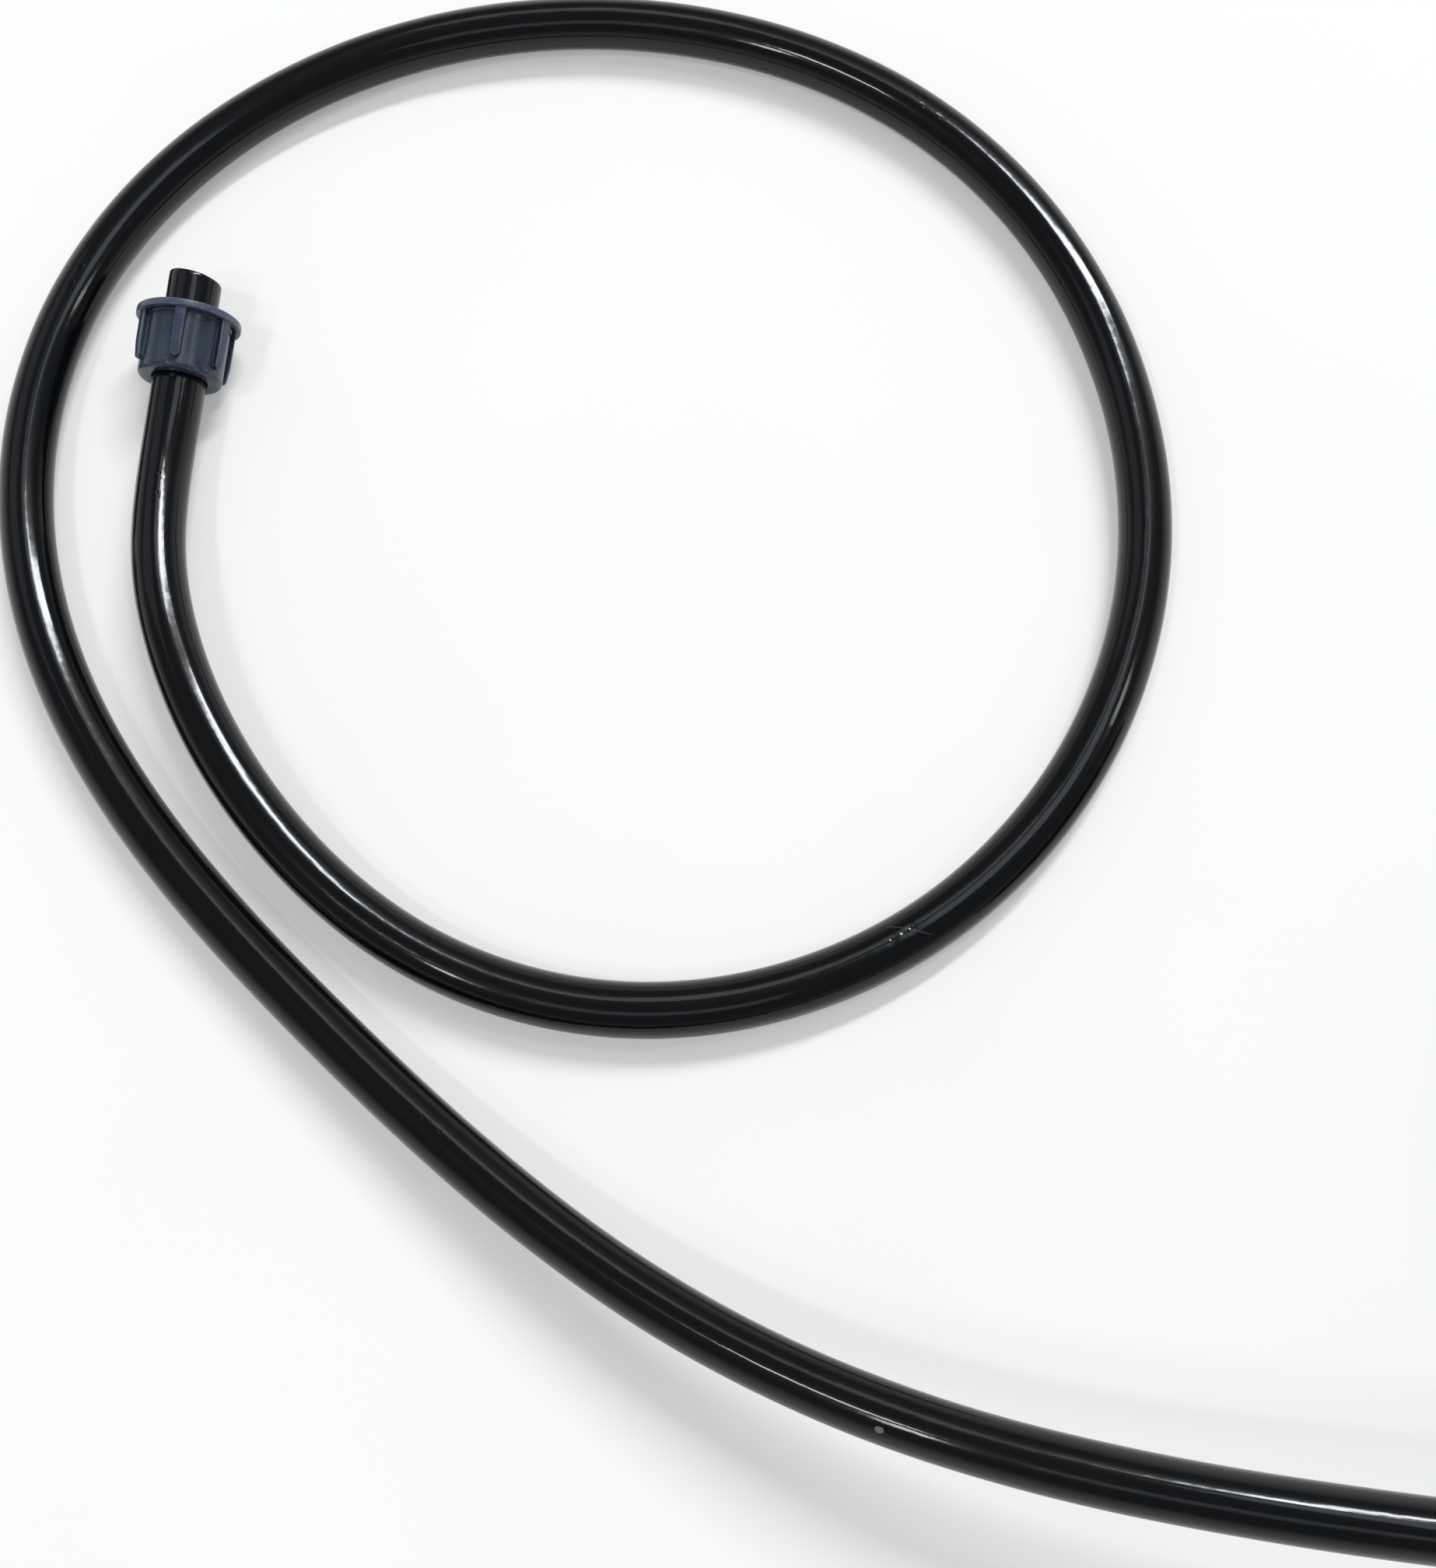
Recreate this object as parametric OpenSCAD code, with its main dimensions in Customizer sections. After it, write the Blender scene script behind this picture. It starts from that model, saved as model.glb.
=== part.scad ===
// Soaker hose: one length of smooth black polyethylene hose for watering beds.
// Its near end carries a loose compression nut, with the split grip ring, the
// bush and the seal that travel inside the nut. The free end is closed by a
// plug with a nut of the same kind. The spare length lies wound in a tied coil.
// Z is up, the floor is Z = 0, and the near end points along +Y, a little up.

/* [Hose] */
// Outside diameter of the hose
hose_od = 16; // [12:0.5:20]
// Thickness of the hose's wall
hose_wall = 1.2; // [0.8:0.1:2]
// Length of the near end that runs past the nut's open face
stub_out = 12.5; // [6:0.5:30]
// Straight length behind the nut's open face
straight_back = 36.7; // [28:0.1:60]
// Slope of the near end's cut, in degrees off square
cut_slope = 8; // [0:1:20]
// Slope of the near end, in degrees above level
end_tilt = 6; // [0:1:15]

/* [Compression nut] */
// Length of the nut
nut_len = 20.5; // [18:0.5:30]
// Thickness of the nut's side wall, outside the root of its thread
nut_side = 1.1; // [0.8:0.1:3]
// Width of the flange round the nut's open end, out from the body
flange_w = 3; // [1:0.1:6]
// Thickness of the flange
flange_t = 2.2; // [1.5:0.1:4]
// Rounding of the nut's small end
edge_round = 1.3; // [0.5:0.1:2]
// Rounding of the flange's rim
rim_round = 0.5; // [0.2:0.1:0.8]
// Depth of the threaded part of the nut
thread_depth = 9; // [6:0.5:12]
// Chamfer where the thread starts
thread_lead = 0.6; // [0.2:0.1:1]
// Step from the root of the thread in to the cone that the grip ring sits in
cone_step = 0.4; // [0.1:0.1:1]
// Slope of the cone, in degrees
cone_angle = 10; // [4:0.5:12]
// Thickness of the wall at the nut's small end
end_wall = 2.2; // [1.5:0.1:4]
// Number of grip ribs
rib_count = 6; // [3:1:12]
// Radius of a rib at its tip
rib_tip_r = 1.45; // [0.8:0.05:2]
// Radius of a rib at the flange
rib_root_r = 1.8; // [0.8:0.05:2.5]
// Distance from the nut's small end to the middle of a rib's tip
rib_set_back = 4.5; // [2:0.5:8]
// How far the middle of a rib lies outside the body
rib_stand = 0.3; // [0:0.05:1]
// Turn of the nut about the hose, in degrees
nut_turn = 7; // [0:1:60]

/* [Grip ring, bush and seal] */
// Length of the split grip ring
ring_len = 10; // [6:0.5:12]
// Thickness of the grip ring at its wide end
ring_wall = 2.7; // [2.2:0.1:4]
// Space between the grip ring's narrow end and the end wall
ring_stand = 0.5; // [0.2:0.1:2]
// Width of the split in the grip ring
ring_split = 3; // [1:0.5:5]
// Number of gripping teeth inside the ring
ring_teeth = 3; // [2:1:5]
// Height of a tooth
tooth_h = 0.6; // [0.3:0.1:1]
// Width of a tooth's flat crest
tooth_crest = 0.4; // [0.2:0.1:1]
// Length of the pressure bush
bush_len = 2.4; // [1.5:0.1:5]
// Height of the bush's nose, which the seal ring rests against
nose_h = 1.7; // [1:0.1:2.5]
// Thickness of the rubber seal ring
seal_d = 2; // [1.5:0.1:2.5]

/* [Fits] */
// Gap all round between the hose and what slides on it
slide_gap = 0.3; // [0.2:0.05:0.6]
// Gap between the nut and the ring that it turns on
turn_gap = 0.3; // [0.2:0.05:0.6]
// Gap between pieces that are clamped together
seat_gap = 0.1; // [0.05:0.05:0.3]

/* [End plug] */
// Height of the thread on the plug's spigot
thread_h = 0.6; // [0.4:0.1:1]
// Thickness of the plug's collar
collar_t = 2.8; // [2:0.1:5]
// Space between the nut's open face and the collar
collar_gap = 0.6; // [0.2:0.1:3]
// Length of the plug's cap past the collar
cap_len = 9.5; // [6:0.5:16]
// Rounding of the cap's closed end
cap_round = 2; // [0.5:0.1:4]
// Depth that the hose goes into the plug past the nut's open face
plug_depth = 8.3; // [4:0.1:12]

/* [Coil] */
// Radius of the outer turns, at the middle of the hose
coil_radius = 110.6; // [90:0.1:160]
// Turns in each layer
layer_turns = 2.5; // [1.5:1:4.5]
// Number of layers
layers = 4; // [2:2:4]
// Space between turns that lie side by side or one above the other
turn_space = 0.6; // [0.5:0.1:3]
// Length from the coil to the end plug's nut
tail_len = 67.5; // [60:0.5:120]
// Straight length behind the end plug's nut
far_straight = 7; // [4:0.5:20]

/* [Ties] */
// Width of a tie's band
tie_w = 5; // [3:0.5:12]
// Thickness of a tie's band
tie_t = 1.2; // [0.8:0.1:2]
// Space between a tie's band and the turns, at the top and the sides
tie_gap = 0.8; // [0.6:0.1:1.5]
// Space between the bottom turns and the bands that they lie on
lay_gap = 0.25; // [0.2:0.05:0.5]
// Wall of a tie's square head on each side of the band
tie_head_side = 1; // [0.8:0.1:2.5]
// Height of a tie's head
tie_head_h = 5; // [3:0.5:8]
// Rounding of the head's corners
tie_head_round = 1.2; // [0.5:0.1:2]
// Length of the trimmed end that stands out of the head
tie_stub = 1.5; // [0.5:0.5:10]

/* [Hidden] */
$fn = 96;
eps = 0.01;
hose_r = hose_od / 2;
bore_r = hose_r - hose_wall;
slide_r = hose_r + slide_gap;

// Each size of the nut is built outwards from the ring that it squeezes.
ring_wide_r = slide_r + ring_wall;
cone_wide_r = ring_wide_r + turn_gap;
thread_r = cone_wide_r + cone_step;
nut_r = thread_r + nut_side;
flange_r = nut_r + flange_w;
rib_r = nut_r + rib_stand;
rib_reach = nut_len - rib_set_back;

// Places along a fitting are measured from the nut's open face, minus being
// towards the nut's small end.
cone_start = -thread_depth;
cone_end = end_wall - nut_len;
cone_narrow_r = cone_wide_r - tan(cone_angle) * (cone_start - cone_end);
ring_back = cone_end + ring_stand;
ring_front = ring_back + ring_len;
bush_back = ring_front + seat_gap;
bush_front = bush_back + bush_len;
seal_mid = bush_front + seat_gap / 2 + seal_d / 2;
seal_r = slide_r + seal_d / 2;

// The near end leans on its nut, on the flange's rim or on the lowest rib.
flange_height = flange_r * cos(end_tilt) + flange_t * sin(end_tilt);
rib_height = rib_r * cos(nut_turn) * cos(end_tilt) + rib_reach * sin(end_tilt) + rib_tip_r;
axis_height = max(flange_height, rib_height);
stub_slant = hose_r * tan(cut_slope);
face_y = (straight_back - stub_out - stub_slant / 2) / 2 * cos(end_tilt);
near_face = [0, face_y, axis_height];
near_dir = [0, cos(end_tilt), sin(end_tilt)];

// The coil is wound from its top layer down, in and out by turns.
turn_pitch = hose_od + turn_space;
coil_turns = layers * layer_turns;
loop_rings = 24;
coil_low = tie_t + lay_gap + hose_r;
coil_top = coil_low + (layers - 1) * turn_pitch;
coil_inner = coil_radius - layer_turns * turn_pitch;
coil_edge = [541, -298, 0];
coil_centre = coil_edge + [0, coil_radius, 0];
coil_start = coil_edge + [-hose_od, 0, coil_top];
coil_finish = coil_edge + [hose_od, 0, coil_low];
tie_angles = [20, 140, 230];
tie_head = tie_w + 2 * tie_head_side;

// The end plug's nut lies on its flange on the floor, level and along +X.
far_face = coil_edge + [tail_len + nut_len, 0, flange_r];
far_back = nut_len + far_straight;

// The hose's route over the floor from the near end to the coil. Each point
// holds X, Y and how far it has risen from the floor, 0, to the top layer, 1.
route = [
    [4, -78, 0], [30, -127, 0], [88, -178, 0], [165, -192, 0], [239, -162, 0],
    [286, -103, 0], [302, -33, 0], [288, 35, 0], [251, 92, 0], [195, 129, 0],
    [126, 141, 0], [55, 127, 0], [-4, 88, 0], [-41, 30, 0], [-48, -37, 0],
    [-26, -101, 0], [19, -155, 0], [74, -199, 0.04], [129, -239, 0.16],
    [187, -271, 0.33], [254, -291, 0.57], [332, -298, 0.78], [411, -298, 0.94]
];
run_start = near_face - near_dir * straight_back;
run_lead = 24;
run_end_lead = 48;
run_points = concat(
    [run_start + near_dir * run_lead, run_start, run_start - near_dir * run_lead],
    [for (p = route) [p.x, p.y, hose_r + p.z * (coil_top - hose_r)]],
    [for (k = [-1 : 1]) coil_start + [k * run_end_lead, 0, 0]]
);
// Behind the nut the hose is too stiff to lie down at once. Each pair holds a
// length behind the straight near end and how high the hose arches there.
arch = [
    [0, 0], [11, 0.75], [21, 2.2], [31, 3.8], [41, 5.1], [51, 5.9], [61, 6.2],
    [71, 6.1], [91, 5.5], [121, 4.4], [161, 2.6], [211, 0.8], [251, 0]
];
arch_way = [0.32, -0.31, 1];
run_rings = 52;
tail_rings = 8;
round_sides = 12;

hose_black = [0.07, 0.075, 0.09];
nut_blue = [0.25, 0.29, 0.38];
ring_white = [0.86, 0.86, 0.82];
rubber_black = [0.12, 0.12, 0.12];
tie_grey = [0.35, 0.36, 0.38];

// ---- curves and tubes ----

function unit(v) = v / norm(v);

// Eases from 0 to 1 as x goes from 0 to 1, level at both ends.
function eased(x) = let (c = min(max(x, 0), 1)) c * c * (3 - 2 * c);

// Point on the smooth curve that follows a list of points, t = 0 to len - 3.
function curve_at(p, t) =
    let (i = min(floor(t), len(p) - 4), u = t - i)
    (p[i] * pow(1 - u, 3)
        + p[i + 1] * (3 * pow(u, 3) - 6 * u * u + 4)
        + p[i + 2] * (1 + 3 * u + 3 * u * u - 3 * pow(u, 3))
        + p[i + 3] * pow(u, 3)) / 6;

// Section of a round tube, and of a wound turn with flats above and below.
function round_section(r) =
    [for (j = [0 : round_sides - 1]) let (a = 360 * j / round_sides) r * [cos(a), sin(a)]];
clear_bore_r = bore_r / cos(180 / round_sides);
function turn_section(r) = [[r, 0], [r / 2, r], [-r / 2, r], [-r, 0], [-r / 2, -r], [r / 2, -r]];

// One ring of points, square to the way that the hose runs.
function ring_points(place, way, section) =
    let (side = unit(cross(way, [0, 0, 1])), top = cross(side, way))
    [for (q = section) place + side * q.x + top * q.y];

// Hollow tube through a list of places, each with the way it faces there.
module tube(places, ways, outer, inner) {
    n = len(outer);
    last = len(places) - 1;
    outside = [for (i = [0 : last]) each ring_points(places[i], ways[i], outer)];
    inside = [for (i = [0 : last]) each ring_points(places[i], ways[i], inner)];
    in0 = len(outside);
    walls = [for (i = [0 : last - 1], j = [0 : n - 1])
        let (k = (j + 1) % n, a = i * n + j, b = i * n + k, c = a + n, d = b + n)
        each [[a, b, d], [a, d, c], [in0 + a, in0 + d, in0 + b], [in0 + a, in0 + c, in0 + d]]];
    mouths = [for (j = [0 : n - 1])
        let (k = (j + 1) % n, z = last * n)
        each [[j, in0 + j, in0 + k], [j, in0 + k, k],
            [z + j, z + k, in0 + z + k], [z + j, in0 + z + k, in0 + z + j]]];
    polyhedron(concat(outside, inside), concat(walls, mouths));
}

// ---- the coil's path ----

// Radius and height of the turns, u turns from the coil's start.
function coil_radius_at(u) =
    let (k = min(floor(u / layer_turns), layers - 1), w = u - k * layer_turns)
    coil_radius - turn_pitch * (k % 2 == 0 ? w : layer_turns - w);
function coil_height_at(u) =
    coil_top - turn_pitch * total([for (k = [1 : layers - 1]) eased((u - k * layer_turns) * 2 + 0.5)]);
function total(list) = list * [for (x = list) 1];
function coil_way(u) = [cos(360 * u), sin(360 * u), 0];
function coil_at(u) =
    let (r = coil_radius_at(u))
    [coil_centre.x + r * sin(360 * u), coil_centre.y - r * cos(360 * u), coil_height_at(u)];

coil_steps = coil_turns * loop_rings;
coil_places = concat([coil_start], [for (i = [0 : coil_steps]) coil_at(i / loop_rings)], [coil_finish]);
coil_ways = concat([[1, 0, 0]], [for (i = [0 : coil_steps]) coil_way(i / loop_rings)], [[1, 0, 0]]);

// Space between two turns that pass the same side of the coil, d apart.
function section_space(d) =
    max([for (a = [0 : 5 : 355])
        let (n = [cos(a), sin(a)])
        d * n - 2 * max([for (v = turn_section(hose_r)) v * n])]);
coil_space = min([for (i = [0 : coil_steps - loop_rings], k = [i + loop_rings : loop_rings : coil_steps])
    let (u = i / loop_rings, v = k / loop_rings)
    section_space([coil_radius_at(u) - coil_radius_at(v), coil_height_at(u) - coil_height_at(v)])]);
run_lengths = [for (i = [1 : run_rings]) norm(run_place(i) - run_place(i - 1))];
coil_lengths = [for (i = [1 : len(coil_places) - 1]) norm(coil_places[i] - coil_places[i - 1])];
echo(least_gap_between_turns = coil_space);
echo(hose_length = stub_out + straight_back + total(run_lengths) + total(coil_lengths)
    + tail_len - hose_od + nut_len + plug_depth);

// ---- placing ----

module at_near_end() translate(near_face) rotate([end_tilt - 90, 0, 0]) children();
module at_far_end() translate(far_face) rotate([0, 90, 0]) children();

// ---- the hose ----

module straight_hose(low, high) {
    difference() {
        translate([0, 0, low]) cylinder(r = hose_r, h = high - low);
        translate([0, 0, low - 1]) cylinder(r = bore_r, h = high - low + 2);
    }
}

// Near end: straight through the nut, cut a little out of square by hand.
module hose_end() {
    color(hose_black) at_near_end() difference() {
        straight_hose(-straight_back, stub_out + stub_slant + 1);
        translate([0, 0, stub_out]) rotate([0, cut_slope, 0])
            translate([-hose_od, -hose_od, 0]) cube(2 * hose_od);
    }
}

function run_time(i) = i * (len(run_points) - 3) / run_rings;
function flat_place(i) = curve_at(run_points, run_time(i));
function flat_way(i) = unit(flat_place(i + 0.01) - flat_place(i - 0.01));
function run_far(i) = i == 0 ? 0 : run_far(i - 1) + norm(flat_place(i) - flat_place(i - 1));
function run_place(i) = flat_place(i) + arch_way * lookup(run_far(i), arch);
function run_way(i) =
    i == 0 ? -near_dir
    : i == run_rings ? [1, 0, 0]
    : unit(flat_way(i)
        + arch_way * (lookup(run_far(i) + 5, arch) - lookup(run_far(i) - 5, arch)) / 10);

// The free run: once round a wide loop on the floor, then up onto the coil.
module hose_run() {
    places = [for (i = [0 : run_rings]) run_place(i)];
    ways = [for (i = [0 : run_rings]) run_way(i)];
    color(hose_black) tube(places, ways, round_section(hose_r), round_section(clear_bore_r));
}

// The spare length in piled turns, each layer spiralling the other way.
module hose_coil() {
    color(hose_black) tube(coil_places, coil_ways, turn_section(hose_r), turn_section(bore_r));
}

// The short rise from the coil's bottom layer to the end plug.
tail_end = far_face - [far_back, 0, 0];
function tail_place(i) =
    let (w = i / tail_rings)
    [coil_finish.x + w * (tail_end.x - coil_finish.x), coil_finish.y,
        coil_finish.z + eased(w) * (tail_end.z - coil_finish.z)];
function tail_way(i) =
    i == 0 || i == tail_rings ? [1, 0, 0] : unit(tail_place(i + 1) - tail_place(i - 1));

module hose_tail() {
    places = [for (i = [0 : tail_rings]) tail_place(i)];
    ways = [for (i = [0 : tail_rings]) tail_way(i)];
    color(hose_black) tube(places, ways, round_section(hose_r), round_section(clear_bore_r));
}

module hose_far_end() {
    color(hose_black) at_far_end() straight_hose(-far_back, plug_depth);
}

// ---- the compression nut and what travels in it ----

module nut_outline() {
    translate([0, edge_round - nut_len]) square([nut_r, nut_len - edge_round]);
    translate([0, -nut_len]) square([nut_r - edge_round, nut_len]);
    translate([nut_r - edge_round, edge_round - nut_len]) circle(edge_round);
    translate([0, -flange_t]) square([flange_r - rim_round, flange_t]);
    translate([0, rim_round - flange_t]) square([flange_r, flange_t - 2 * rim_round]);
    for (y = [-rim_round, rim_round - flange_t]) translate([flange_r - rim_round, y]) circle(rim_round);
}

// Thread bore with a lead-in, cone seat for the grip ring, hole for the hose.
module nut_hollow() {
    hole_r = slide_r + seat_gap;
    polygon([
        [0, eps], [thread_r + thread_lead, eps], [thread_r, -thread_lead], [thread_r, cone_start],
        [cone_wide_r, cone_start], [cone_narrow_r, cone_end], [hole_r, cone_end],
        [hole_r, -nut_len - eps], [0, -nut_len - eps]
    ]);
}

// A moulded rib: round-backed, wider at the flange, with a round tip.
module grip_rib(reach) {
    translate([rib_r, 0, -reach]) {
        cylinder(r1 = rib_tip_r, r2 = rib_root_r, h = reach - flange_t / 2);
        sphere(rib_tip_r);
    }
}

module nut() {
    difference() {
        union() {
            rotate_extrude() nut_outline();
            for (k = [0 : rib_count - 1])
                rotate([0, 0, nut_turn - 90 + 360 * k / rib_count]) grip_rib(rib_reach);
        }
        rotate_extrude() nut_hollow();
    }
}

// Split ring: cone outside, saw teeth inside that bite the hose when squeezed.
module ring_outline() {
    tooth = ring_len / (ring_teeth + 1);
    seat = turn_gap / cos(cone_angle);
    difference() {
        intersection() {
            polygon([
                [slide_r, cone_end], [cone_narrow_r - seat, cone_end],
                [cone_wide_r - seat, cone_start], [ring_wide_r, cone_start], [ring_wide_r, 0], [slide_r, 0]
            ]);
            translate([slide_r, ring_back]) square([ring_wall, ring_len]);
        }
        for (k = [0 : ring_teeth])
            translate([slide_r, ring_back + k * tooth])
            polygon([[-eps, tooth_crest], [-eps, tooth], [tooth_h, tooth_crest]]);
    }
}

module split_ring() {
    difference() {
        rotate_extrude() ring_outline();
        translate([0, -ring_split / 2, ring_back - 1]) cube([flange_r, ring_split, ring_len + 2]);
    }
}

module bush_shape() {
    rotate_extrude() translate([slide_r, bush_back]) {
        square([ring_wall - seat_gap, bush_len / 2]);
        square([nose_h, bush_len]);
    }
}

module seal_shape() {
    rotate_extrude() translate([seal_r, seal_mid]) circle(seal_d / 2);
}

module coupling_nut() color(nut_blue) at_near_end() nut();
module grip_ring() color(ring_white) at_near_end() rotate([0, 0, 60]) split_ring();
module pressure_bush() color(rubber_black) at_near_end() bush_shape();
module seal_ring() color(rubber_black) at_near_end() seal_shape();

// ---- the end plug and its nut ----

// The spigot holds the seal in a recess and stops just short of the bush.
module plug_outline() {
    spigot_back = bush_front + seat_gap;
    cap_low = collar_gap + collar_t;
    recess_r = slide_r + seal_d + seat_gap;
    difference() {
        union() {
            translate([0, spigot_back]) square([thread_r - thread_h, cap_low - spigot_back]);
            translate([0, collar_gap]) square([flange_r - rim_round, collar_t]);
            translate([0, collar_gap + rim_round]) square([flange_r, collar_t - 2 * rim_round]);
            for (y = [collar_gap + rim_round, cap_low - rim_round])
                translate([flange_r - rim_round, y]) circle(rim_round);
            translate([0, cap_low]) square([nut_r, cap_len - cap_round]);
            translate([0, cap_low]) square([nut_r - cap_round, cap_len]);
            translate([nut_r - cap_round, cap_low + cap_len - cap_round]) circle(cap_round);
        }
        translate([0, spigot_back - 1]) square([hose_r + seat_gap, 1 + plug_depth + seat_gap - spigot_back]);
        translate([0, spigot_back - 1]) square([recess_r, 1 + seal_d + 2 * seat_gap]);
    }
}

// A closed cap on a threaded spigot, with ribs like the nut's.
module end_plug() {
    rib_base = collar_gap + collar_t - flange_t / 2;
    color(nut_blue) at_far_end() {
        rotate_extrude() plug_outline();
        for (k = [0 : rib_count - 1])
            rotate([0, 0, nut_turn + 360 * k / rib_count])
            translate([0, 0, rib_base]) mirror([0, 0, 1]) grip_rib(cap_len - cap_round);
    }
}

module end_nut() color(nut_blue) at_far_end() nut();
module end_grip_ring() color(ring_white) at_far_end() rotate([0, 0, 60]) split_ring();
module end_bush() color(rubber_black) at_far_end() bush_shape();
module end_seal_ring() color(rubber_black) at_far_end() seal_shape();

// ---- the ties round the coil ----

// Turns from a side of the coil where its turns reach furthest out or in.
function turns_from(side, angle) = let (w = abs(angle - side) / 360) min(w, 1 - w);

module rounded_box(size, r) {
    translate([r, 0]) square([size.x - 2 * r, size.y]);
    translate([0, r]) square([size.x, size.y - 2 * r]);
    for (x = [r, size.x - r], y = [r, size.y - r]) translate([x, y]) circle(r);
}

// The lock of a tie: the band's end comes out of it and is cut off short.
module tie_lock() {
    linear_extrude(tie_head_h) translate([-tie_head / 2, -tie_head / 2])
        rounded_box([tie_head, tie_head], tie_head_round);
    translate([-tie_w / 2, -tie_t / 2, 0]) cube([tie_w, tie_t, tie_head_h + tie_stub]);
}

// A band drawn close round all the turns, with its head on the outside.
module coil_tie(angle) {
    low = coil_inner + turn_pitch * turns_from(90, angle) - hose_r - tie_gap;
    high = coil_radius - turn_pitch * turns_from(270, angle) + hose_r + tie_gap;
    inside = [high - low, coil_top + hose_r + tie_gap - tie_t];
    color(tie_grey) translate([coil_centre.x, coil_centre.y, 0]) rotate([0, 0, angle]) {
        translate([0, tie_w / 2, 0]) rotate([90, 0, 0]) linear_extrude(tie_w) difference() {
            translate([low - tie_t, 0]) rounded_box(inside + [2, 2] * tie_t, hose_r / 2 + tie_t);
            translate([low, tie_t]) rounded_box(inside, hose_r / 2);
        }
        translate([high + tie_t / 2, 0, inside.y / 2 + tie_head / 2]) rotate([90, 0, 90]) tie_lock();
    }
}

module coil_tie_1() coil_tie(tie_angles[0]);
module coil_tie_2() coil_tie(tie_angles[1]);
module coil_tie_3() coil_tie(tie_angles[2]);

hose_end();
hose_run();
hose_coil();
hose_tail();
hose_far_end();
coupling_nut();
grip_ring();
pressure_bush();
seal_ring();
end_plug();
end_nut();
end_grip_ring();
end_bush();
end_seal_ring();
coil_tie_1();
coil_tie_2();
coil_tie_3();
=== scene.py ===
import bpy
import math
import numpy as np
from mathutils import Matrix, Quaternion, Vector


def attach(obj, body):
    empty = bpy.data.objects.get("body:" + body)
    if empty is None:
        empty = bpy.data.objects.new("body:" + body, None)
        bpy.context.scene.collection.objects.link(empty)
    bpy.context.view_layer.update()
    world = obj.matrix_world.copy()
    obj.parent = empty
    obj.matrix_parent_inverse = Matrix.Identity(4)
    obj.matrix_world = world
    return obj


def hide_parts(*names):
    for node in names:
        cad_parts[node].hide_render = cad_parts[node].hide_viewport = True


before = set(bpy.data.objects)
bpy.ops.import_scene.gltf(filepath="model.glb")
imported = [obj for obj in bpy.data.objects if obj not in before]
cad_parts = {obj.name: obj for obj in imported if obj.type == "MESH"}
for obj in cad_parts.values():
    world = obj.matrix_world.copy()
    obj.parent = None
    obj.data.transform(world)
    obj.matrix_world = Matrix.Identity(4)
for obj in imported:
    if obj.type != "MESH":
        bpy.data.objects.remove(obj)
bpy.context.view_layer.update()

# ---------------------------------------------------------------------------
# The camera stands a little more than half a metre over the front of the loop
# and looks down on it, tipped slightly towards its far side.
# ---------------------------------------------------------------------------

EYE = Vector((0.1948, -0.2778, 0.5739))
LOOKS_AT = Vector((0.1770, -0.1142, 0.0))
FOCAL_PIXELS = 2600
PICTURE_WIDTH = 1846
SENSOR_WIDTH = 36.0
NEAREST_SEEN = 0.01

view = bpy.data.cameras.new("camera")
view.sensor_fit = "HORIZONTAL"
view.sensor_width = SENSOR_WIDTH
view.lens = SENSOR_WIDTH * FOCAL_PIXELS / PICTURE_WIDTH
view.clip_start = NEAREST_SEEN
camera = bpy.data.objects.new("camera", view)
bpy.context.scene.collection.objects.link(camera)
camera.location = EYE
camera.rotation_euler = (LOOKS_AT - EYE).to_track_quat("-Z", "Y").to_euler()
bpy.context.scene.camera = camera

# ---------------------------------------------------------------------------
# The hose: one 7.5 m length of black polyethylene, extruded 16 mm across with
# a 1.2 mm wall, cut off by hand at the near end. It runs once round a loop on
# the floor, climbs onto the tied coil and is wound down through four layers.
# ---------------------------------------------------------------------------

# Sizes and places are in millimetres.
MM = 0.001
HOSE_R = 8.0
BORE_R = 6.8
# The near end: the stub past the nut's open face, the straight length behind
# that face, and the slope of the cut, which fades out along the hose.
STUB_OUT = 12.5
STRAIGHT_BACK = 36.7
CUT_SLOPE = math.radians(8)
CUT_FADE = 6
END_TILT = math.radians(6)
NEAR_FACE = np.array([0, 11.7544, 16.0536])
NEAR_DIR = np.array([0, math.cos(END_TILT), math.sin(END_TILT)])
# The far end, in its plug.
FAR_FACE = np.array([629, -298, 15.8])
FAR_STRAIGHT = 27.5
PLUG_DEPTH = 8.3
# The coil, wound from its outermost top turn down to the floor. Between layers
# the hose steps down over part of a turn.
COIL_RADIUS = 110.6
COIL_CENTRE = np.array([541, -187.4])
TURN_PITCH = 16.6
COIL_TOP = 59.25
LAYERS = 4
LAYER_TURNS = 2.5
STEP_TURNS = 0.5
COIL_START = np.array([525, -298, 59.25])
COIL_FINISH = np.array([557, -298, 9.45])
# The lie of the hose between them: x, y and how far up to the coil's top layer.
ROUTE = [
    (4, -78, 0), (30, -127, 0), (88, -178, 0), (165, -192, 0), (239, -162, 0),
    (286, -103, 0), (302, -33, 0), (288, 35, 0), (251, 92, 0), (195, 129, 0),
    (126, 141, 0), (55, 127, 0), (-4, 88, 0), (-41, 30, 0), (-48, -37, 0),
    (-26, -101, 0), (19, -155, 0), (74, -199, 0.04), (129, -239, 0.16),
    (187, -271, 0.33), (254, -291, 0.57), (332, -298, 0.78), (411, -298, 0.94),
]
# Behind the nut the hose is too stiff to lie down at once. Each pair holds a
# length behind the straight near end and how high the hose arches there.
ARCH = [
    (0, 0), (11, 0.75), (21, 2.2), (31, 3.8), (41, 5.1), (51, 5.9), (61, 6.2),
    (71, 6.1), (91, 5.5), (121, 4.4), (161, 2.6), (211, 0.8), (251, 0),
]
ARCH_WAY = np.array([0.32, -0.31, 1])
# How far apart the points lie that lead the run straight out of the near end
# and straight into the coil.
RUN_LEAD = 24
COIL_LEAD = 48
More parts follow.
